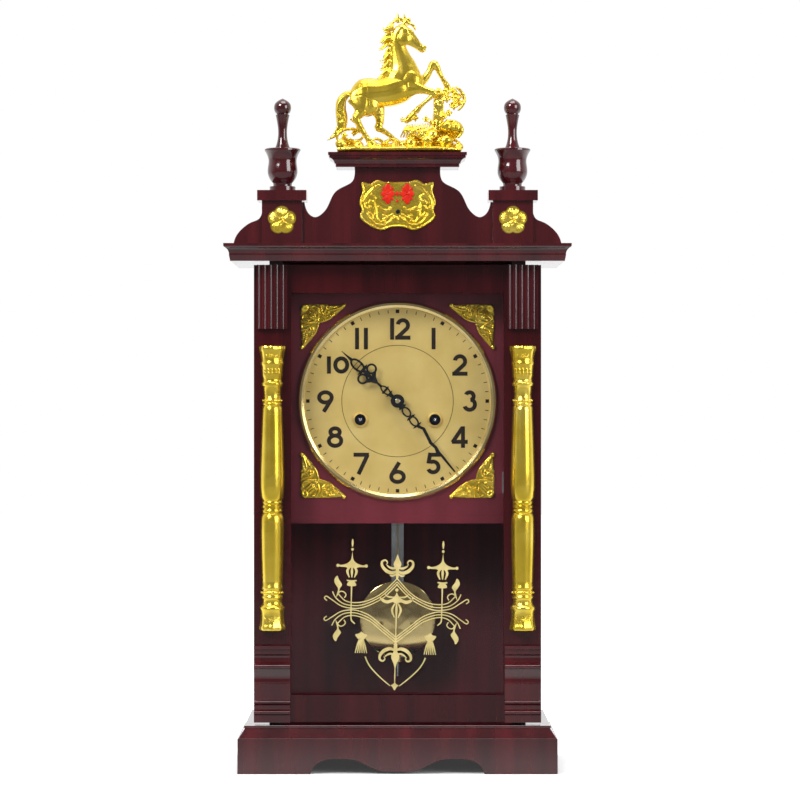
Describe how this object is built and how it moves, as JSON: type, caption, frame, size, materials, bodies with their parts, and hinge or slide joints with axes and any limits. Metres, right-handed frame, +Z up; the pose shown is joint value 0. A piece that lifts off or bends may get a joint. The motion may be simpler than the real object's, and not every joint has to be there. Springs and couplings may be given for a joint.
{
  "type": "striking mantel clock",
  "caption": "Tall mantel clock: lacquered wooden case with glazed hinged door, carved crest, horse statue, geared striking movement, swinging pendulum and coiled gong.",
  "frame": {"origin": "centre of the whole clock's footprint, on the floor it stands on", "axes": "+Z up, -Y towards the viewer of the dial, +X to the viewer's right"},
  "size_m": [0.297, 0.155, 0.6534],
  "materials": {
    "lacquered_wood": "gloss lacquer",
    "gilt_metal": "polished gilt",
    "brass": "satin",
    "steel": "brushed",
    "blued_steel": "blued",
    "black_metal": "satin black",
    "dark_ink": "matte print",
    "burgundy_panel": "satin",
    "clear_glass": "clear"
  },
  "bodies": {
    "case": {"base_frame": "lacquered_wood", "base_top": "lacquered_wood", "case_side_left": "lacquered_wood", "case_side_right": "lacquered_wood", "case_back": "lacquered_wood", "cornice": "lacquered_wood", "crest_board": "lacquered_wood", "crest_cap": "lacquered_wood", "finial_blocks": "lacquered_wood", "finial_caps": "lacquered_wood", "finials": "lacquered_wood", "rosettes": "gilt_metal", "crest_plaque": "gilt_metal", "horse_statue": "gilt_metal", "hinge_leaves_case": "brass", "door_catch": "steel", "dial_panel": "burgundy_panel", "dial_plate": "brass", "dial_bezel": "brass", "dial_markings": "dark_ink", "corner_spandrels": "gilt_metal", "winding_grommets": "gilt_metal", "movement_front_plate": "brass", "movement_back_plate": "brass", "movement_pillars": "steel", "movement_posts": "brass", "gong_coil": "blued_steel", "gong_post": "blued_steel"},
    "door": {"door_frame": "lacquered_wood", "door_glass": "clear_glass", "glass_beads": "lacquered_wood", "fluted_blocks": "lacquered_wood", "half_columns": "gilt_metal", "plinth_blocks": "lacquered_wood", "hinge_leaves_door": "brass"},
    "minute_hand": {"minute_hand": "black_metal", "cannon_pinion": "brass"},
    "minute_wheel": {"minute_wheel": "brass"},
    "hour_hand": {"hour_hand": "black_metal", "hour_wheel": "brass"},
    "centre_wheel": {"centre_wheel": "brass"},
    "third_wheel": {"third_wheel": "brass"},
    "escape_wheel": {"escape_wheel": "brass"},
    "anchor": {"anchor_and_crutch": "steel"},
    "pendulum": {"suspension_spring": "steel", "pendulum_rod": "steel", "pendulum_bob": "brass", "rating_nut": "brass"},
    "time_barrel": {"time_barrel": "brass", "time_mainspring": "steel"},
    "time_winding_arbor": {"time_winding_arbor": "steel"},
    "time_click": {"time_click": "steel"},
    "strike_barrel": {"strike_barrel": "brass", "strike_mainspring": "steel"},
    "strike_winding_arbor": {"strike_winding_arbor": "steel"},
    "strike_click": {"strike_click": "steel"},
    "pin_wheel": {"pin_wheel": "brass"},
    "warning_wheel": {"warning_wheel": "brass"},
    "strike_fly": {"strike_fly": "brass"},
    "gong_hammer": {"gong_hammer": "steel"}
  },
  "joints": [
    {"name": "door_hinge", "type": "hinge", "parent": "case", "child": "door", "pos_m": [-0.1135, -0.03, 0.2397], "axis": [0, 0, -1], "range_deg": [0, 105]},
    {"name": "minute_hand_turn", "type": "hinge", "parent": "case", "child": "minute_hand", "pos_m": [0, -0.028, 0.3192], "axis": [0, 1, 0], "continuous": true},
    {"name": "minute_wheel_turn", "type": "hinge", "parent": "case", "child": "minute_wheel", "pos_m": [0, -0.013, 0.3312], "axis": [0, 1, 0], "continuous": true},
    {"name": "hour_hand_turn", "type": "hinge", "parent": "case", "child": "hour_hand", "pos_m": [0, -0.026, 0.3192], "axis": [0, 1, 0], "continuous": true},
    {"name": "escape_wheel_turn", "type": "hinge", "parent": "case", "child": "escape_wheel", "pos_m": [0, 0.009, 0.3582], "axis": [0, 1, 0], "continuous": true},
    {"name": "third_wheel_turn", "type": "hinge", "parent": "case", "child": "third_wheel", "pos_m": [0.00751, 0.018, 0.33988], "axis": [0, 1, 0], "continuous": true},
    {"name": "centre_wheel_turn", "type": "hinge", "parent": "case", "child": "centre_wheel", "pos_m": [0, 0.014, 0.3192], "axis": [0, 1, 0], "continuous": true},
    {"name": "time_barrel_turn", "type": "hinge", "parent": "case", "child": "time_barrel", "pos_m": [0.0324, 0.002, 0.303], "axis": [0, 1, 0], "continuous": true},
    {"name": "pendulum_swing", "type": "hinge", "parent": "case", "child": "pendulum", "pos_m": [0, 0.038, 0.3772], "axis": [0, 1, 0], "range_deg": [-4, 4]},
    {"name": "anchor_rock", "type": "hinge", "parent": "case", "child": "anchor", "pos_m": [0, 0.009, 0.3772], "axis": [0, 1, 0], "range_deg": [-4, 4]},
    {"name": "strike_fly_turn", "type": "hinge", "parent": "case", "child": "strike_fly", "pos_m": [-0.02998, 0, 0.36672], "axis": [0, 1, 0], "continuous": true},
    {"name": "warning_wheel_turn", "type": "hinge", "parent": "case", "child": "warning_wheel", "pos_m": [-0.03597, 0, 0.35363], "axis": [0, 1, 0], "continuous": true},
    {"name": "pin_wheel_turn", "type": "hinge", "parent": "case", "child": "pin_wheel", "pos_m": [-0.02599, 0, 0.33865], "axis": [0, 1, 0], "continuous": true},
    {"name": "strike_barrel_turn", "type": "hinge", "parent": "case", "child": "strike_barrel", "pos_m": [-0.0324, 0.002, 0.303], "axis": [0, 1, 0], "continuous": true},
    {"name": "gong_hammer_lift", "type": "hinge", "parent": "case", "child": "gong_hammer", "pos_m": [-0.04996, 0.02, 0.33468], "axis": [0, 1, 0], "range_deg": [0, 10], "stiffness_Nm_per_rad": 0.01, "springref_deg": -5.73},
    {"name": "time_winding", "type": "hinge", "parent": "case", "child": "time_winding_arbor", "pos_m": [0.0324, -0.013, 0.303], "axis": [0, 1, 0], "range_deg": [0, 1800]},
    {"name": "strike_winding", "type": "hinge", "parent": "case", "child": "strike_winding_arbor", "pos_m": [-0.0324, -0.013, 0.303], "axis": [0, 1, 0], "range_deg": [0, 1800]},
    {"name": "time_click_lift", "type": "hinge", "parent": "case", "child": "time_click", "pos_m": [0.03915, -0.013, 0.31469], "axis": [0, 1, 0], "range_deg": [-12, 0], "stiffness_Nm_per_rad": 0.001, "springref_deg": 11.46},
    {"name": "strike_click_lift", "type": "hinge", "parent": "case", "child": "strike_click", "pos_m": [-0.03915, -0.013, 0.31469], "axis": [0, 1, 0], "range_deg": [-12, 0], "stiffness_Nm_per_rad": 0.001, "springref_deg": 11.46}
  ],
  "couplings": [
    {"joint": "minute_wheel_turn", "follows": "minute_hand_turn", "ratio": -0.33333},
    {"joint": "hour_hand_turn", "follows": "minute_hand_turn", "ratio": 0.083333},
    {"joint": "third_wheel_turn", "follows": "escape_wheel_turn", "ratio": -0.1},
    {"joint": "centre_wheel_turn", "follows": "escape_wheel_turn", "ratio": 0.01},
    {"joint": "time_barrel_turn", "follows": "escape_wheel_turn", "ratio": -0.001},
    {"joint": "anchor_rock", "follows": "pendulum_swing", "ratio": 1},
    {"joint": "strike_fly_turn", "follows": "warning_wheel_turn", "ratio": -7},
    {"joint": "pin_wheel_turn", "follows": "warning_wheel_turn", "ratio": -0.125},
    {"joint": "strike_barrel_turn", "follows": "warning_wheel_turn", "ratio": 0.0125}
  ]
}
